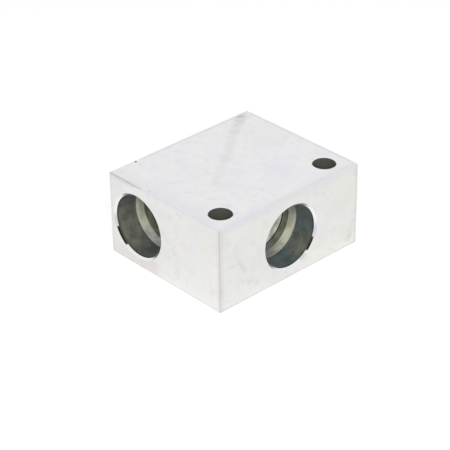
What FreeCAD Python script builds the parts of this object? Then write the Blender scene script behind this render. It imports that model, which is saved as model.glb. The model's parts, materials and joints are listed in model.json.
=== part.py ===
import FreeCAD, Part
import math
import os

# Right-angle port block, machined from one piece of aluminium bar.
#
# One port enters the front face and one the side face. Each is a stepped bore: a chamfered
# mouth, an entry bore, a lead-in taper, a slightly smaller seat bore and a square shoulder,
# with a drilled passage that goes on until it meets the passage of the other port. Two bolt
# holes run straight down through the block beside its front face.
#
# Millimetres. +X runs along the block, +Y from the front face to the back and +Z up. The
# origin is the middle of the bottom face, so the side face is at -X and the front one at -Y.

# Block
BLOCK_LENGTH = 71.0
BLOCK_WIDTH = 60.0
EDGE_BREAK = 0.35           # leg of the chamfer that deburrs the outer edges
WALL_UNDER_PORTS = 4.4      # from the bottom face to both entry bores
WALL_OVER_PORTS = 4.9       # from both entry bores to the top face
WALL_BEHIND_SIDE_PORT = 2.4  # from the side port's entry bore to the back face
FRONT_PORT_OFFSET = 0.5     # from mid-length to the front port's axis

# Both ports, with every depth measured from the face that the port enters
ENTRY_DIAMETER = 25.2
MOUTH_CHAMFER = 0.85        # leg of the 45 degree chamfer
ENTRY_DEPTH = 10.2          # end of the entry bore
TAPER_LENGTH = 3.4          # lead-in from the entry bore down to the seat bore
SEAT_STEP = 0.6             # how much less the seat bore's radius is than the entry bore's
SEAT_LENGTH = 3.4           # straight seat bore, down to its shoulder
PASSAGE_DIAMETER = 16.0
DRILL_POINT_ANGLE = 118.0   # included angle that the drill leaves at a blind end

# Bolt holes
BOLT_HOLE_DIAMETER = 9.0
BOLT_HOLE_BREAK = 0.2       # leg of the deburring chamfer at both ends of a hole
BOLT_FROM_END = 9.0         # hole axis to the nearer end of the block
BOLT_FROM_FRONT = 9.0       # hole axis to the front face

# A cutter starts this far outside the face that it enters.
OVERRUN = 1.0

# Worked out from the sizes above
ENTRY_RADIUS = ENTRY_DIAMETER / 2
BLOCK_HEIGHT = WALL_UNDER_PORTS + ENTRY_DIAMETER + WALL_OVER_PORTS
SIDE_FACE_X = -BLOCK_LENGTH / 2
FRONT_FACE_Y = -BLOCK_WIDTH / 2
PORT_AXIS_Z = WALL_UNDER_PORTS + ENTRY_RADIUS
SIDE_PORT_Y = BLOCK_WIDTH / 2 - WALL_BEHIND_SIDE_PORT - ENTRY_RADIUS

X_AXIS = FreeCAD.Vector(1, 0, 0)
Y_AXIS = FreeCAD.Vector(0, 1, 0)
Z_AXIS = FreeCAD.Vector(0, 0, 1)


def revolved(profile, start, direction):
    """Solid of revolution about an axis through start, from (distance along it, radius) points."""
    points = [FreeCAD.Vector(radius, 0, along) for along, radius in profile]
    outline = Part.Face(Part.makePolygon(points + points[:1]))
    solid = outline.revolve(FreeCAD.Vector(0, 0, 0), Z_AXIS, 360)
    turn = FreeCAD.Rotation(Z_AXIS, direction)
    solid.Placement = FreeCAD.Placement(start, turn)
    return solid


def blank():
    """The sawn and squared block, with its outer edges broken."""
    corner = FreeCAD.Vector(SIDE_FACE_X, FRONT_FACE_Y, 0)
    block = Part.makeBox(BLOCK_LENGTH, BLOCK_WIDTH, BLOCK_HEIGHT, corner)
    return block.makeChamfer(EDGE_BREAK, block.Edges)


def port_cutter(mouth, direction, passage_end):
    """What one port removes: passage_end is the depth where its axis meets the other port's."""
    taper_end = ENTRY_DEPTH + TAPER_LENGTH
    shoulder = taper_end + SEAT_LENGTH
    seat_radius = ENTRY_RADIUS - SEAT_STEP
    passage_radius = PASSAGE_DIAMETER / 2
    drill_point = passage_radius / math.tan(math.radians(DRILL_POINT_ANGLE / 2))
    profile = [
        (-OVERRUN, 0),
        (-OVERRUN, ENTRY_RADIUS + MOUTH_CHAMFER + OVERRUN),
        (MOUTH_CHAMFER, ENTRY_RADIUS),
        (ENTRY_DEPTH, ENTRY_RADIUS),
        (taper_end, seat_radius),
        (shoulder, seat_radius),
        (shoulder, passage_radius),
        (passage_end, passage_radius),
        (passage_end + drill_point, 0),
    ]
    return revolved(profile, mouth, direction)


def bolt_hole_cutter(x):
    """What one through bolt hole removes, with a broken edge at the bottom and the top face."""
    radius = BOLT_HOLE_DIAMETER / 2
    flared = radius + BOLT_HOLE_BREAK + OVERRUN
    profile = [
        (-OVERRUN, 0),
        (-OVERRUN, flared),
        (BOLT_HOLE_BREAK, radius),
        (BLOCK_HEIGHT - BOLT_HOLE_BREAK, radius),
        (BLOCK_HEIGHT + OVERRUN, flared),
        (BLOCK_HEIGHT + OVERRUN, 0),
    ]
    foot = FreeCAD.Vector(x, FRONT_FACE_Y + BOLT_FROM_FRONT, 0)
    return revolved(profile, foot, Z_AXIS)


def port_block():
    """The whole part: the blank, less both ports and both bolt holes."""
    front_mouth = FreeCAD.Vector(FRONT_PORT_OFFSET, FRONT_FACE_Y, PORT_AXIS_Z)
    side_mouth = FreeCAD.Vector(SIDE_FACE_X, SIDE_PORT_Y, PORT_AXIS_Z)
    bolt_x = BLOCK_LENGTH / 2 - BOLT_FROM_END
    cutters = [
        port_cutter(front_mouth, Y_AXIS, SIDE_PORT_Y - FRONT_FACE_Y),
        port_cutter(side_mouth, X_AXIS, FRONT_PORT_OFFSET - SIDE_FACE_X),
        bolt_hole_cutter(-bolt_x),
        bolt_hole_cutter(bolt_x),
    ]
    return blank().cut(cutters)


os.makedirs("parts", exist_ok=True)
solid = port_block().Solids[0]
solid.exportStep("parts/port_block.step")
print("port_block: valid", solid.isValid(), "volume", round(solid.Volume, 1), "mm3")
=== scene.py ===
import json
import math

import bmesh
import bpy
from mathutils import Matrix, Quaternion, Vector


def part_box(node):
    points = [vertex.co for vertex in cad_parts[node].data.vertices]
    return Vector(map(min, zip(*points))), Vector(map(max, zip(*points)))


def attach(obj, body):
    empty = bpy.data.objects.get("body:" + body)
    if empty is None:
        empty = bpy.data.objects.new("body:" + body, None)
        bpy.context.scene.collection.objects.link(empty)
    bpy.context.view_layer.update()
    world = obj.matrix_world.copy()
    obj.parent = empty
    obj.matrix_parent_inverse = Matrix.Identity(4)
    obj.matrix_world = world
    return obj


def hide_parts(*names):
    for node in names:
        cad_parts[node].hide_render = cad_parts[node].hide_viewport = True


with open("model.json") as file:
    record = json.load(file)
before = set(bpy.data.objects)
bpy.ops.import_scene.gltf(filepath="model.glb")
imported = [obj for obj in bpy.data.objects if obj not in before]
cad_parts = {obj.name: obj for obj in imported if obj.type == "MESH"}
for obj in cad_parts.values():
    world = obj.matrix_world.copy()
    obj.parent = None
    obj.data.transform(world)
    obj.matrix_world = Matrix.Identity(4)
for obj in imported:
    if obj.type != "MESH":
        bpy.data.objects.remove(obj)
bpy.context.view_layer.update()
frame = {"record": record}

# Everything is in metres, in the part's own frame: +X along the block, the front port's face
# at -Y, +Z up. Sizes below are written in millimetres and multiplied by MM where they are used.
MM = 0.001

# Camera: a long lens, level but for a small roll, looking down on the corner between the ports
CAMERA_AZIMUTH = math.radians(-42.74)
CAMERA_ELEVATION = math.radians(31.06)
CAMERA_ROLL = math.radians(-0.73)
CAMERA_DISTANCE = 0.6773
CAMERA_AIM = Vector((-4.94, 0.0, 11.66)) * MM
CAMERA_LENS = 143.6

# The block's outside
EDGE_ROUNDING = 0.35
EDGE_STEPS = 3
SHARP_ANGLE = math.radians(8)

# Steps inside each port, as depths from the face that the port enters
MOUTH_CHAMFER = 0.85
ENTRY_DEPTH = 10.2
TAPER_DEPTH = 13.6
SEAT_CORNER_DEPTH = 16.4
SHOULDER_DEPTH = 17.0
SEAT_STEP = 0.6
PASSAGE_RADIUS = 8.0
DRILL_POINT_ANGLE = math.radians(118)
BOLT_HOLE_BREAK = 0.2
OVERRUN = 1.0
TURNED_STEPS = 120

# Where marks in a port are placed: the radius of its wall, the radius and depth of the middle of
# its mouth chamfer, and a depth past every surface that is marked
WALL_RADIUS = 12.0
CHAMFER_RADIUS = 13.0
CHAMFER_DEPTH = 0.4
MARKED_DEPTH = 20.0

BOX_LOW, BOX_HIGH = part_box("port_block")
MOUNTS = {mount["name"]: mount for mount in frame["record"]["mounts"]}

SLOTS = [
    "milled_top",
    "milled_front",
    "milled_side",
    "broken_edge",
    "mouth_chamfer",
    "bored_wall",
    "turned_taper",
    "seat_wall",
    "seat_corner",
    "shoulder",
    "drilled_wall",
    "pit",
]


# ---------------------------------------------------------------- mesh


def slot_index(name):
    return SLOTS.index(name)


def new_object(name, mesh):
    made = bpy.data.objects.new(name, mesh)
    bpy.context.scene.collection.objects.link(made)
    return made


def mesh_object(name, shape):
    """A bmesh as a new object whose slots match the block's, so a cut keeps its finish."""
    bmesh.ops.recalc_face_normals(shape, faces=shape.faces)
    mesh = bpy.data.meshes.new(name)
    shape.to_mesh(mesh)
    shape.free()
    for slot in SLOTS:
        mesh.materials.append(MATERIALS[slot])
    return new_object(name, mesh)


def rounded_blank():
    """The squared block with small round edges and a milling direction on each face."""
    shape = bmesh.new()
    middle = (Vector(BOX_LOW) + Vector(BOX_HIGH)) / 2
    size = Vector(BOX_HIGH) - Vector(BOX_LOW)
    place = Matrix.Translation(middle) @ Matrix.Diagonal(size).to_4x4()
    bmesh.ops.create_cube(shape, size=1.0, matrix=place)
    milled_by_axis = ("milled_side", "milled_front", "milled_top")
    for face in shape.faces:
        across = max(range(3), key=lambda axis: abs(face.normal[axis]))
        face.material_index = slot_index(milled_by_axis[across])
    bmesh.ops.bevel(
        shape,
        geom=list(shape.edges),
        offset=EDGE_ROUNDING * MM,
        segments=EDGE_STEPS,
        profile=0.5,
        affect="EDGES",
        material=slot_index("broken_edge"),
    )
    return mesh_object("machined_block", shape)


def turned_cutter(name, start, inward, profile):
    """A solid of revolution from (depth, radius, slot of the span that follows) in millimetres."""
    shape = bmesh.new()
    across = Vector((inward.y, inward.z, inward.x))
    up = inward.cross(across)
    angles = [2 * math.pi * step / TURNED_STEPS for step in range(TURNED_STEPS)]
    rings = []
    for depth, radius, _ in profile:
        centre = start + inward * depth * MM
        if radius == 0:
            rings.append([shape.verts.new(centre)] * TURNED_STEPS)
            continue
        ring = [
            shape.verts.new(centre + (across * math.cos(a) + up * math.sin(a)) * radius * MM)
            for a in angles
        ]
        rings.append(ring)
    for (near, far), (_, _, slot) in zip(zip(rings, rings[1:]), profile):
        for step in range(TURNED_STEPS):
            nxt = (step + 1) % TURNED_STEPS
            corners = [near[step], near[nxt], far[nxt], far[step]]
            unique = list(dict.fromkeys(corners))
            shape.faces.new(unique).material_index = slot_index(slot)
    return mesh_object(name, shape)


def mouth_of(mount):
    """Where a port's axis leaves the block, in metres."""
    outward = Vector(mount["axis"])
    middle = Vector(mount["pos_m"])
    face = Vector(BOX_LOW if sum(outward) < 0 else BOX_HIGH)
    return middle + outward * (face - middle).dot(outward)


def port_cutter(name, mount, meets):
    """One stepped port, from its mouth to the drill point beyond the other port's axis."""
    inward = -Vector(mount["axis"])
    radius = mount["dims"]["r_mm"]
    mouth = mouth_of(mount)
    passage_end = (meets - mouth).dot(inward) / MM
    drill_point = PASSAGE_RADIUS / math.tan(DRILL_POINT_ANGLE / 2)
    flared = radius + MOUTH_CHAMFER + OVERRUN
    profile = [
        (-OVERRUN, 0, "mouth_chamfer"),
        (-OVERRUN, flared, "mouth_chamfer"),
        (MOUTH_CHAMFER, radius, "bored_wall"),
        (ENTRY_DEPTH, radius, "turned_taper"),
        (TAPER_DEPTH, radius - SEAT_STEP, "seat_wall"),
        # the span just before the shoulder is painted near black: painted shade in the corner
        (SEAT_CORNER_DEPTH, radius - SEAT_STEP, "seat_corner"),
        (SHOULDER_DEPTH, radius - SEAT_STEP, "shoulder"),
        (SHOULDER_DEPTH, PASSAGE_RADIUS, "drilled_wall"),
        (passage_end, PASSAGE_RADIUS, "drilled_wall"),
        (passage_end + drill_point, 0, "drilled_wall"),
    ]
    return turned_cutter(name, mouth, inward, profile)


def bolt_hole_cutters():
    """Both through holes, with a small break at the bottom and top edges."""
    mount = MOUNTS["bolt_holes"]
    radius = mount["dims"]["hole_r_mm"]
    height = (BOX_HIGH[2] - BOX_LOW[2]) / MM
    flared = radius + BOLT_HOLE_BREAK + OVERRUN
    profile = [
        (-OVERRUN, 0, "mouth_chamfer"),
        (-OVERRUN, flared, "mouth_chamfer"),
        (BOLT_HOLE_BREAK, radius, "drilled_wall"),
        (height - BOLT_HOLE_BREAK, radius, "mouth_chamfer"),
        (height + OVERRUN, flared, "mouth_chamfer"),
        (height + OVERRUN, 0, "mouth_chamfer"),
    ]
    cutters = []
    for side in (-1, 1):
        foot = Vector(mount["pos_m"])
        foot.x += side * mount["dims"]["spacing_x_mm"] / 2 * MM
        foot.z = BOX_LOW[2]
        cutters.append(turned_cutter("bolt_hole", foot, Vector((0, 0, 1)), profile))
    return cutters


def nick_cutter(place, radius, slot):
    """A small dent: place is in millimetres from the block's lowest corner."""
    shape = bmesh.new()
    centre = Vector(BOX_LOW) + Vector(place) * MM
    bmesh.ops.create_icosphere(
        shape, subdivisions=2, radius=radius * MM, matrix=Matrix.Translation(centre)
    )
    for face in shape.faces:
        face.material_index = slot_index(slot)
    return mesh_object("nick", shape)


def nick_cutters():
    """Two dark specks on the top's back edge and a burr on its left one."""
    top = (BOX_HIGH[2] - BOX_LOW[2]) / MM
    width = (BOX_HIGH[1] - BOX_LOW[1]) / MM
    return [
        nick_cutter((12.2, width - 1.0, top + 0.15), 0.5, "pit"),
        nick_cutter((66.5, width - 0.2, top), 0.45, "pit"),
        nick_cutter((0.1, 38.6, top + 0.1), 0.45, "broken_edge"),
    ]


def cut(block, cutter):
    bpy.context.view_layer.objects.active = block
    modifier = block.modifiers.new("cut", "BOOLEAN")
    modifier.operation = "DIFFERENCE"
    modifier.solver = "EXACT"
    modifier.material_mode = "INDEX"
    modifier.object = cutter
    bpy.ops.object.modifier_apply(modifier="cut")
    bpy.data.objects.remove(cutter)


def machined_block():
    front, side = MOUNTS["front_port"], MOUNTS["side_port"]
    crossing = Vector((front["pos_m"][0], side["pos_m"][1], side["pos_m"][2]))
    block = rounded_blank()
    cutters = [
        port_cutter("front_port", front, crossing),
        port_cutter("side_port", side, crossing),
        *bolt_hole_cutters(),
        *nick_cutters(),
    ]
    for cutter in cutters:
        cut(block, cutter)
    block.data.shade_smooth()
    block.data.set_sharp_from_angle(angle=SHARP_ANGLE)
    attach(block, "root")
    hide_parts("port_block")
    return block


# ---------------------------------------------------------------- finishes


# Linear red, green and blue of each finish: cool and warm patches of the milled faces, set face by
# face so that the front and side are darker than the top, a painted shade; and in the ports the
# front one's tone and the side one's, set port by port so that they carry painted light and shade,
# and that of a band low on the outer wall of both, a band of painted light
TONES = {
    "milled_top": ((0.806, 0.807, 0.835), (0.817, 0.819, 0.815)),
    "milled_front": ((0.732, 0.733, 0.723), (0.742, 0.743, 0.706)),
    "milled_side": ((0.747, 0.744, 0.741), (0.757, 0.755, 0.723)),
    "bored_wall": ((0.157, 0.196, 0.209), (0.141, 0.164, 0.161), (0.257, 0.263, 0.214)),
    "turned_taper": ((0.464, 0.463, 0.406), (0.626, 0.643, 0.645), (0.678, 0.673, 0.538)),
    "seat_wall": ((0.210, 0.199, 0.290), (0.100, 0.100, 0.070), (0.233, 0.253, 0.192)),
    "shoulder": 3 * ((0.980, 0.955, 0.840),),
    "drilled_wall": (0.256, 0.273, 0.232),
}

# That band of painted light: the depths of its ends, then in each port its angle, half width and
# softness
PAINTED_LIGHT_BANDS = {
    "bored_wall": {"depths": (1, 4.5), "front_port": (-42, 2, 6.5), "side_port": (-32, 4.5, 9)},
    "turned_taper": {"depths": (10, 14), "front_port": (-30, 2.5, 8), "side_port": (-20, 3, 10)},
    "seat_wall": {"depths": (10, 17), "front_port": (-30, 6, 7), "side_port": (-20, 8, 6)},
    "shoulder": {"depths": (10, 17), "front_port": (-30, 6, 7), "side_port": (-20, 8, 6)},
}

# Where each mouth chamfer carries a painted dark reflection: the angle of the arc's middle, and in
# millimetres half its length and how far it reaches from the port's axis
DARK_REFLECTION_ARCS = {"front_port": (-35, 2.4, 12.95), "side_port": (-39.5, 3.5, 13.05)}

# Tints of patches and marks on the milled faces, as shares of the face's cool tone
PALE_LILAC = (0.97, 0.955, 0.99)
PALE_ROSE = (0.99, 0.957, 0.935)
PALE_TAN = (0.96, 0.94, 0.86)
PALE_GREY = (0.89, 0.883, 0.88)
LILAC = (0.94, 0.91, 1.0)
ROSE = (0.985, 0.925, 0.91)
STRAW = (0.96, 0.96, 0.83)
YELLOW = (0.865, 0.865, 0.63)
TAN = (0.89, 0.83, 0.80)
BROWN_GREY = (0.79, 0.74, 0.74)
OLIVE_GREY = (0.83, 0.83, 0.78)
OLIVE = (0.79, 0.79, 0.69)
LINE_GREY = (0.815, 0.815, 0.81)
GREY = (0.715, 0.715, 0.70)
DARK_GREY = (0.52, 0.52, 0.48)
# Colours of the streak on the top: a painted reflection
REFLECTION_STREAK_BROWN = (0.755, 0.73, 0.70)
REFLECTION_STREAK_OLIVE = (0.81, 0.80, 0.715)

# Colours of the broken edges, painted greyer than the faces as shade
EDGE_DULL = (0.60, 0.60, 0.60)
EDGE_BRIGHT = (0.74, 0.74, 0.75)
EDGE_LILAC = (0.75, 0.74, 0.79)
EDGE_CORNER = (0.57, 0.57, 0.58)
EDGE_LEFT_DARKEST = (0.52, 0.52, 0.52)

# Colours of the mouth chamfers and the painted dark reflection on them, of the painted shade in the
# corners behind the seats, and of the pits
CHAMFER_DULL = (0.76, 0.76, 0.78)
CHAMFER_BRIGHT = (0.90, 0.90, 0.90)
CHAMFER_GREY = (0.50, 0.485, 0.53)
CHAMFER_BURR = (0.45, 0.44, 0.47)
# Near black: the painted dark reflection on the chamfers
CHAMFER_DARK_REFLECTION = (0.02, 0.02, 0.022)
CORNER_PAINTED_SHADE = (0.06, 0.065, 0.05)
PIT_DARK = (0.05, 0.05, 0.05)

# Sockets of the Mix node when it mixes colours
MIX_COLOUR_A = 6
MIX_COLOUR_B = 7
MIX_COLOUR_RESULT = 2


class Finish:
    """A node material with short helpers. Textures read object coordinates in millimetres."""

    def __init__(self, name, metallic):
        self.material = bpy.data.materials.new(name)
        self.material.use_nodes = True
        self.tree = self.material.node_tree
        self.shader = self.tree.nodes["Principled BSDF"]
        self.shader.inputs["Metallic"].default_value = metallic
        scaled = self.tree.nodes.new("ShaderNodeVectorMath")
        scaled.operation = "SCALE"
        scaled.inputs["Scale"].default_value = 1 / MM
        place = self.tree.nodes.new("ShaderNodeTexCoord")
        self.tree.links.new(place.outputs["Object"], scaled.inputs[0])
        self.place = scaled.outputs[0]

    def link(self, source, socket):
        if isinstance(source, (int, float)):
            socket.default_value = source
        elif isinstance(source, (tuple, list, Vector)):
            value = tuple(source)
            socket.default_value = value + (1,) if len(socket.default_value) > len(value) else value
        else:
            self.tree.links.new(source, socket)

    def math(self, operation, a, b=0.0, clamp=False):
        node = self.tree.nodes.new("ShaderNodeMath")
        node.operation = operation
        node.use_clamp = clamp
        self.link(a, node.inputs[0])
        self.link(b, node.inputs[1])
        return node.outputs[0]

    def vector(self, operation, a, b=(0, 0, 0)):
        node = self.tree.nodes.new("ShaderNodeVectorMath")
        node.operation = operation
        self.link(a, node.inputs[0])
        self.link(b, node.inputs[1])
        return node.outputs["Value"] if operation in ("DOT_PRODUCT", "LENGTH") else node.outputs[0]

    def noise(self, scale, detail=3.0, stretch=(1, 1, 1), shift=(0, 0, 0), place=None):
        """Noise from 0 to 1. scale is cells per millimetre before stretch."""
        node = self.tree.nodes.new("ShaderNodeTexNoise")
        spread = self.vector("MULTIPLY", place or self.place, stretch)
        self.link(self.vector("ADD", spread, shift), node.inputs["Vector"])
        self.link(scale, node.inputs["Scale"])
        self.link(detail, node.inputs["Detail"])
        return node.outputs["Fac"]

    def ramp(self, value, low, high, to_low=0.0, to_high=1.0):
        node = self.tree.nodes.new("ShaderNodeMapRange")
        node.interpolation_type = "SMOOTHSTEP"
        for source, name in (
            (value, "Value"),
            (low, "From Min"),
            (high, "From Max"),
            (to_low, "To Min"),
            (to_high, "To Max"),
        ):
            self.link(source, node.inputs[name])
        return node.outputs["Result"]

    def blend(self, factor, first, second):
        node = self.tree.nodes.new("ShaderNodeMix")
        node.data_type = "RGBA"
        self.link(factor, node.inputs["Factor"])
        self.link(first, node.inputs[MIX_COLOUR_A])
        self.link(second, node.inputs[MIX_COLOUR_B])
        return node.outputs[MIX_COLOUR_RESULT]

    def port_depth(self):
        """Millimetres into whichever port the surface belongs to."""
        inside = self.vector("SUBTRACT", self.place, Vector(BOX_LOW) / MM)
        parts = self.tree.nodes.new("ShaderNodeSeparateXYZ")
        self.link(inside, parts.inputs[0])
        return self.math("MINIMUM", parts.outputs["X"], parts.outputs["Y"])

    def scaled(self, colour, factor):
        node = self.tree.nodes.new("ShaderNodeVectorMath")
        node.operation = "SCALE"
        self.link(colour, node.inputs[0])
        self.link(factor, node.inputs["Scale"])
        return node.outputs[0]

    def near_point(self, point, radius, softness):
        """1 within radius of a point, falling to 0 over softness, all in millimetres."""
        away = self.vector("LENGTH", self.vector("SUBTRACT", self.place, point))
        return self.ramp(away, radius, radius + softness, 1.0, 0.0)

    def near_line(self, start, end, radius, softness):
        """1 within radius of the line from start to end, falling to 0 over softness."""
        start, end = Vector(start), Vector(end)
        along = end - start
        offset = self.vector("SUBTRACT", self.place, start)
        share = self.vector("DOT_PRODUCT", offset, along / along.length_squared)
        share = self.math("ADD", share, 0.0, clamp=True)
        foot = self.scaled(along, share)
        away = self.vector("LENGTH", self.vector("SUBTRACT", offset, foot))
        return self.ramp(away, radius, radius + softness, 1.0, 0.0)

    def set_colour(self, colour):
        self.link(colour, self.shader.inputs["Base Color"])

    def set_roughness(self, value):
        self.link(value, self.shader.inputs["Roughness"])

    def set_bump(self, height, depth):
        """Bump from a 0 to 1 height, depth in millimetres."""
        node = self.tree.nodes.new("ShaderNodeBump")
        node.inputs["Distance"].default_value = depth * MM
        self.link(height, node.inputs["Height"])
        self.link(node.outputs["Normal"], self.shader.inputs["Normal"])


def on_top(x, y):
    """A point on the top face, in millimetres, from its front left corner."""
    return (BOX_LOW[0] / MM + x, BOX_LOW[1] / MM + y, BOX_HIGH[2] / MM)


def on_front(x, z):
    """A point on the front face, in millimetres, from its lower left corner."""
    return (BOX_LOW[0] / MM + x, BOX_LOW[1] / MM, BOX_LOW[2] / MM + z)


def on_side(y, z):
    """A point on the side face, in millimetres, from its lower front corner."""
    return (BOX_LOW[0] / MM, BOX_LOW[1] / MM + y, BOX_LOW[2] / MM + z)


def in_port(port, depth, angle, radius):
    """A point inside a port, in millimetres from its mouth and its axis.

    angle is in degrees, 0 level on the side away from the other port, rising towards +Z.
    """
    mount = MOUNTS[port]
    away = Vector((1, 0, 0)) if port == "front_port" else Vector((0, 1, 0))
    turn = math.radians(angle)
    offset = away * math.cos(turn) + Vector((0, 0, 1)) * math.sin(turn)
    point = mouth_of(mount) / MM - Vector(mount["axis"]) * depth + offset * radius
    return tuple(point)


def on_chamfer(port, angle):
    """A point in the middle of a port's mouth chamfer."""
    return in_port(port, CHAMFER_DEPTH, angle, CHAMFER_RADIUS)


def port_axis(port):
    """The ends of a port's axis, as far in as anything is marked."""
    return in_port(port, 0, 0, 0), in_port(port, MARKED_DEPTH, 0, 0)


def milled(name, grain, marks_of):
    """Bright milled aluminium: fine lay lines along grain, cloudy tints, and marks that are partly
    stains and scuffs and partly painted shade and reflection.
    """
    finish = Finish(name, 1.0)
    cool, warm = TONES[name]
    lines = finish.noise(2.2, 5, stretch=grain)
    tints = [
        (finish.ramp(finish.noise(0.13, 2, shift=(31, 7, 3)), 0.48, 0.72), 0.6, PALE_LILAC),
        (finish.ramp(finish.noise(0.16, 2, shift=(5, 41, 13)), 0.5, 0.72), 0.55, PALE_ROSE),
        (finish.ramp(finish.noise(0.35, 6, shift=(11, 3, 29)), 0.52, 0.76), 0.45, OLIVE_GREY),
        (finish.ramp(lines, 0.60, 0.74), 0.36, LINE_GREY),
        *marks_of(finish),
    ]
    colour = finish.blend(finish.ramp(finish.noise(0.09, 4), 0.35, 0.68), cool, warm)
    for mask, strength, tint in tints:
        tinted = [share * bare for share, bare in zip(tint, cool)]
        colour = finish.blend(finish.math("MULTIPLY", mask, strength), colour, tinted)
    finish.set_colour(colour)
    finish.set_roughness(finish.ramp(finish.noise(0.3, 4, shift=(2, 9, 4)), 0.3, 0.7, 0.30, 0.42))
    finish.set_bump(lines, 0.006)
    return finish.material


def smudges(finish, lines, points):
    """(mask, strength, colour) of soft marks.

    A line is (start, end, radius, softness, strength, colour) and a point the same with no end.
    """
    marks = [
        (finish.near_line(start, end, radius, softness), strength, colour)
        for start, end, radius, softness, strength, colour in lines
    ]
    marks += [
        (finish.near_point(place, radius, softness), strength, colour)
        for place, radius, softness, strength, colour in points
    ]
    return marks


def marks_on_top(finish):
    """A darker streak from the back corner, a painted reflection; greyer edges, painted shade along
    them; and a few stains.
    """
    patchy = finish.ramp(finish.noise(0.3, 5, shift=(17, 2, 8)), 0.35, 0.6, 0.45, 1.0)
    # A darker streak from the back corner towards the middle: a painted reflection of the milling
    # marks
    reflection_streak = finish.near_line(on_top(66.5, 58.3), on_top(55.5, 51), 0.9, 2.4)
    reflection_tail = finish.near_line(on_top(53, 49.3), on_top(37, 36.5), 0.5, 3.0)
    faint_reflection = finish.near_line(on_top(36, 35.5), on_top(22, 26), 0.1, 2.6)
    marks = [
        (finish.math("MULTIPLY", reflection_streak, patchy), 0.58, REFLECTION_STREAK_BROWN),
        (finish.math("MULTIPLY", reflection_tail, patchy), 0.38, REFLECTION_STREAK_OLIVE),
        (finish.math("MULTIPLY", faint_reflection, patchy), 0.28, OLIVE),
    ]
    # The grey lines along the borders are painted shade at the edges
    lines = [
        (on_top(64.4, 58.5), on_top(66.4, 57.4), 0.1, 1.1, 0.6, DARK_GREY),
        (on_top(0, 59), on_top(0.2, 43), 0.3, 1.2, 0.35, GREY),
        (on_top(15, 59.2), on_top(71, 59.2), 0.2, 0.9, 0.3, GREY),
        (on_top(70.3, 3), on_top(70.3, 57), 0.2, 0.9, 0.28, GREY),
        (on_top(24, 1.3), on_top(70, 1.3), 0.2, 0.9, 0.25, GREY),
        (on_top(0, 0.4), on_top(20, 0.4), 0.7, 2.0, 0.55, LILAC),
        (on_top(0.4, 0), on_top(0.4, 14), 0.7, 2.0, 0.45, LILAC),
        (on_top(1, 8), on_top(1, 38), 1.0, 5.0, 0.3, ROSE),
        (on_top(0, 10), on_top(0, 54), 1.0, 9.0, 0.38, PALE_GREY),
        (on_top(6, 0), on_top(71, 0), 0.5, 5.0, 0.22, PALE_GREY),
    ]
    points = [
        (on_top(67.5, 56.3), 0.8, 2.0, 0.4, YELLOW),
        (on_top(61, 41), 3.0, 11.0, 0.35, PALE_TAN),
        (on_top(24, 22), 1.5, 4.5, 0.5, LILAC),
        (on_top(46, 16), 3.0, 7.0, 0.4, LILAC),
        (on_top(2, 57), 0.5, 4.0, 0.5, ROSE),
        (on_top(1.4, 38.8), 0.3, 0.7, 0.5, GREY),
    ]
    return marks + smudges(finish, lines, points)


def marks_on_front(finish):
    """Greyer borders, painted shade along the edges, and the scuffs below and beside the port."""
    lines = [
        # The grey lines along the borders are painted shade at the edges
        (on_front(1, 34), on_front(71, 34), 0.4, 2.2, 0.3, PALE_GREY),
        (on_front(6, 34), on_front(20, 34), 0.6, 2.0, 0.45, LILAC),
        (on_front(0, 0.6), on_front(71, 0.6), 0.2, 0.8, 0.25, GREY),
        (on_front(70.2, 0), on_front(70.2, 34), 0.2, 0.8, 0.3, GREY),
        (on_front(0, 0), on_front(0, 34.5), 0.9, 2.0, 0.3, BROWN_GREY),
        (on_front(65.5, 3.5), on_front(69, 10.5), 0.1, 1.4, 0.3, GREY),
        (on_front(66.5, 3), on_front(68.5, 6), 0.1, 0.7, 0.35, GREY),
        (on_front(9.5, 18), on_front(12.5, 13), 0.2, 1.6, 0.28, GREY),
        (on_front(60, 20), on_front(70, 24), 1.0, 5.0, 0.25, STRAW),
    ]
    points = [
        (on_front(14.5, 7), 0.4, 1.2, 0.3, GREY),
        (on_front(18.5, 5), 0.3, 0.8, 0.25, GREY),
        (on_front(12, 2.2), 0.6, 2.0, 0.35, STRAW),
        (on_front(63, 7), 0.8, 3.0, 0.3, STRAW),
        (on_front(3.5, 28), 1.0, 3.0, 0.3, ROSE),
    ]
    return smudges(finish, lines, points)


def marks_on_side(finish):
    """Greyer borders, painted shade along the edges, a greyer top corner and stains along the
    bottom.
    """
    lines = [
        # The grey lines along the borders are painted shade at the edges
        (on_side(60, 34), on_side(47, 34), 0.4, 1.2, 0.35, GREY),
        (on_side(0, 0.6), on_side(60, 0.6), 0.2, 0.8, 0.25, GREY),
        (on_side(59.3, 0), on_side(59.3, 34), 0.2, 0.8, 0.25, GREY),
        (on_side(0, 0), on_side(0, 34.5), 0.7, 1.6, 0.3, BROWN_GREY),
        (on_side(60, 1), on_side(38, 3), 1.0, 5.0, 0.55, TAN),
        (on_side(5, 14), on_side(5, 3), 0.2, 1.0, 0.3, LILAC),
    ]
    points = [
        (on_side(8, 24), 1.0, 3.0, 0.4, STRAW),
        (on_side(9, 32.5), 0.6, 2.6, 0.4, ROSE),
        (on_side(2, 1.5), 0.5, 2.5, 0.45, ROSE),
        (on_side(57, 6), 0.5, 2.5, 0.35, STRAW),
    ]
    return smudges(finish, lines, points)


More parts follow.
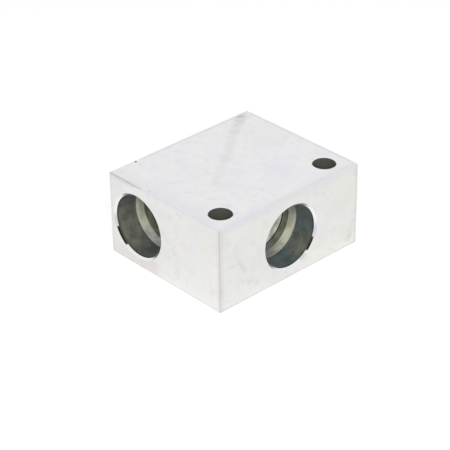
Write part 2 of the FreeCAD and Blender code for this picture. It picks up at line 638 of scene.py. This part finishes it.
def broken_edge():
    """Hand-deburred edge, painted greyer than the faces as shade; darker on the front corner, and
    darkest towards the back of the top's left edge.
    """
    finish = Finish("broken_edge", 1.0)
    patchy = finish.ramp(finish.noise(0.25, 4), 0.3, 0.7)
    colour = finish.blend(patchy, EDGE_DULL, EDGE_BRIGHT)
    for end in (on_top(71, 0), on_top(0, 40)):
        soft = finish.near_line(on_top(0, 0), end, 1.5, 3.0)
        colour = finish.blend(soft, colour, EDGE_LILAC)
    # The front vertical corner is painted darker: painted shade
    front_corner = finish.near_line(on_side(0, 0), on_side(0, 33.5), 0.6, 0.6)
    colour = finish.blend(front_corner, colour, EDGE_CORNER)
    left = finish.near_line(on_top(0, 60), on_top(0, 47), 0.8, 6.0)
    colour = finish.blend(finish.math("MULTIPLY", left, 0.8), colour, EDGE_LEFT_DARKEST)
    finish.set_colour(colour)
    finish.set_roughness(finish.ramp(patchy, 0.0, 1.0, 0.5, 0.35))
    return finish.material


def mouth_chamfer():
    """Bright chamfers with a painted dark reflection on the lower quarter away from the other port.
    """
    finish = Finish("mouth_chamfer", 1.0)
    mottle = finish.noise(0.8, 5)
    colour = finish.blend(mottle, CHAMFER_DULL, CHAMFER_BRIGHT)
    for port, (angle, half_length, reach) in DARK_REFLECTION_ARCS.items():
        beside = finish.near_point(on_chamfer(port, -12), 1.0, 3.8)
        colour = finish.blend(finish.math("MULTIPLY", beside, 0.7), colour, CHAMFER_GREY)
        # A near-black arc on each chamfer: a painted dark reflection
        arc = finish.near_point(on_chamfer(port, angle), half_length, 0.9)
        inner = finish.near_line(*port_axis(port), reach, 0.25)
        dark_reflection = finish.math("MULTIPLY", arc, inner)
        colour = finish.blend(dark_reflection, colour, CHAMFER_DARK_REFLECTION)
    burr = finish.near_point(on_chamfer("front_port", -60), 0.8, 1.6)
    colour = finish.blend(finish.math("MULTIPLY", burr, 0.4), colour, CHAMFER_BURR)
    finish.set_colour(colour)
    finish.set_roughness(finish.ramp(mottle, 0.3, 0.7, 0.2, 0.3))
    return finish.material


def bored(name, metallic, roughness, contrast):
    """A bored or turned surface: its tones, a band of painted light, slow patches, fine rings and
    painted shade just inside the mouth.
    """
    finish = Finish(name, metallic)
    front, side, middle = TONES[name]
    is_side = finish.near_line(*port_axis("side_port"), 14, 1)
    colour = finish.blend(is_side, front, side)
    for port in DARK_REFLECTION_ARCS:
        angle, half_width, softness = PAINTED_LIGHT_BANDS[name][port]
        ends = [in_port(port, depth, angle, WALL_RADIUS) for depth in PAINTED_LIGHT_BANDS[name]["depths"]]
        # a band of painted light, low on the outer wall of each port
        colour = finish.blend(finish.near_line(*ends, half_width, softness), colour, middle)
    depth = finish.port_depth()
    ringed = finish.tree.nodes.new("ShaderNodeCombineXYZ")
    finish.link(finish.math("MULTIPLY", depth, 2.5), ringed.inputs["X"])
    along = finish.vector("MULTIPLY", finish.place, (0.22, 0.22, 0.22))
    rings = finish.noise(1.0, 4, place=finish.vector("ADD", along, ringed.outputs[0]))
    slow = finish.noise(0.28, 4, shift=(3, 23, 5))
    shade = finish.ramp(rings, 0.35, 0.65, 1 - contrast / 2, 1 + contrast / 2)
    shade = finish.math("MULTIPLY", shade, finish.ramp(slow, 0.35, 0.65, 1 - contrast, 1 + contrast))
    # Darker just inside the mouth: painted shade
    painted_mouth_shade = finish.ramp(depth, 0.9, 2.2, 0.55, 1.0)
    finish.set_colour(finish.scaled(colour, finish.math("MULTIPLY", shade, painted_mouth_shade)))
    finish.set_roughness(finish.ramp(slow, 0.3, 0.7, roughness, roughness + 0.12))
    finish.set_bump(rings, 0.004)
    return finish.material


def plain_finish(name, colour, metallic, roughness):
    """A small surface whose only variation is a fine mottle."""
    finish = Finish(name, metallic)
    mottle = finish.noise(0.8, 5)
    darker = [0.85 * c for c in colour]
    finish.set_colour(finish.blend(mottle, darker, colour))
    finish.set_roughness(finish.ramp(mottle, 0.3, 0.7, roughness, roughness + 0.1))
    return finish.material


def make_materials():
    lengthwise = (0.05, 1, 1)
    crosswise = (1, 0.05, 1)
    return {
        "milled_top": milled("milled_top", lengthwise, marks_on_top),
        "milled_front": milled("milled_front", lengthwise, marks_on_front),
        "milled_side": milled("milled_side", crosswise, marks_on_side),
        "broken_edge": broken_edge(),
        "mouth_chamfer": mouth_chamfer(),
        "bored_wall": bored("bored_wall", metallic=0.4, roughness=0.3, contrast=0.18),
        "turned_taper": bored("turned_taper", metallic=0.1, roughness=0.5, contrast=0.18),
        "seat_wall": bored("seat_wall", metallic=0.5, roughness=0.35, contrast=0.3),
        # Near black: painted shade in the corner behind the seat
        "seat_corner": plain_finish("seat_corner", CORNER_PAINTED_SHADE, metallic=0.5, roughness=0.6),
        "shoulder": bored("shoulder", metallic=0.0, roughness=0.5, contrast=0.25),
        "drilled_wall": plain_finish(
            "drilled_wall", TONES["drilled_wall"], metallic=0.6, roughness=0.45
        ),
        "pit": plain_finish("pit", PIT_DARK, metallic=0.2, roughness=0.7),
    }


# ---------------------------------------------------------------- stage


def place_camera():
    data = bpy.data.cameras.new("camera")
    camera = new_object("camera", data)
    data.lens = CAMERA_LENS
    data.sensor_width = 36.0
    data.clip_start = 0.01
    data.clip_end = 10.0
    level = math.cos(CAMERA_ELEVATION)
    back = Vector(
        (
            math.sin(CAMERA_AZIMUTH) * level,
            -math.cos(CAMERA_AZIMUTH) * level,
            math.sin(CAMERA_ELEVATION),
        )
    )
    camera.location = CAMERA_AIM + back * CAMERA_DISTANCE
    camera.rotation_mode = "QUATERNION"
    roll = Quaternion((0, 0, 1), CAMERA_ROLL)
    camera.rotation_quaternion = (-back).to_track_quat("-Z", "Y") @ roll
    bpy.context.scene.camera = camera


def seen_directly(tree):
    """1 for rays from the camera and for those that metal reflects, otherwise 0."""
    path = tree.nodes.new("ShaderNodeLightPath")
    total = path.outputs["Is Camera Ray"]
    for name in ("Is Glossy Ray", "Is Transmission Ray"):
        both = tree.nodes.new("ShaderNodeMath")
        both.operation = "ADD"
        both.use_clamp = True
        tree.links.new(total, both.inputs[0])
        tree.links.new(path.outputs[name], both.inputs[1])
        total = both.outputs[0]
    return total


def white_world(ambient):
    """White wherever it is seen, and ambient strength where it lights matt surfaces."""
    world = bpy.data.worlds.new("studio")
    bpy.context.scene.world = world
    world.use_nodes = True
    tree = world.node_tree
    strength = tree.nodes.new("ShaderNodeMapRange")
    strength.inputs["To Min"].default_value = ambient
    tree.links.new(seen_directly(tree), strength.inputs["Value"])
    background = tree.nodes["Background"]
    background.inputs["Color"].default_value = (1, 1, 1, 1)
    tree.links.new(strength.outputs["Result"], background.inputs["Strength"])


def pale_floor(lift):
    """A matt floor: lift is a little glow that only direct and mirrored sight picks up."""
    material = bpy.data.materials.new("pale_floor")
    material.use_nodes = True
    tree = material.node_tree
    shader = tree.nodes["Principled BSDF"]
    shader.inputs["Base Color"].default_value = (0.93, 0.93, 0.93, 1)
    shader.inputs["Roughness"].default_value = 1.0
    shader.inputs["Specular IOR Level"].default_value = 0.0
    shader.inputs["Emission Color"].default_value = (1, 1, 1, 1)
    glow = tree.nodes.new("ShaderNodeMath")
    glow.operation = "MULTIPLY"
    glow.inputs[1].default_value = lift
    tree.links.new(seen_directly(tree), glow.inputs[0])
    tree.links.new(glow.outputs[0], shader.inputs["Emission Strength"])
    shape = bmesh.new()
    bmesh.ops.create_grid(shape, x_segments=1, y_segments=1, size=3.0)
    mesh = bpy.data.meshes.new("floor")
    shape.to_mesh(mesh)
    shape.free()
    mesh.materials.append(material)
    floor = new_object("floor", mesh)
    floor.location.z = BOX_LOW[2]


def softbox(name, place, size, power):
    """A square area lamp that faces the block, kept out of what the metal mirrors."""
    data = bpy.data.lights.new(name, "AREA")
    data.size = size
    data.energy = power
    lamp = new_object(name, data)
    lamp.visible_glossy = False
    lamp.location = place
    to_block = CAMERA_AIM - Vector(place)
    lamp.rotation_mode = "QUATERNION"
    lamp.rotation_quaternion = to_block.to_track_quat("-Z", "Y")


MATERIALS = make_materials()
machined_block()
place_camera()
white_world(ambient=0.36)
pale_floor(lift=0.46)
softbox("key", place=(-0.75, -0.85, 0.80), size=0.6, power=11.0)

bpy.context.scene.view_settings.view_transform = "Standard"
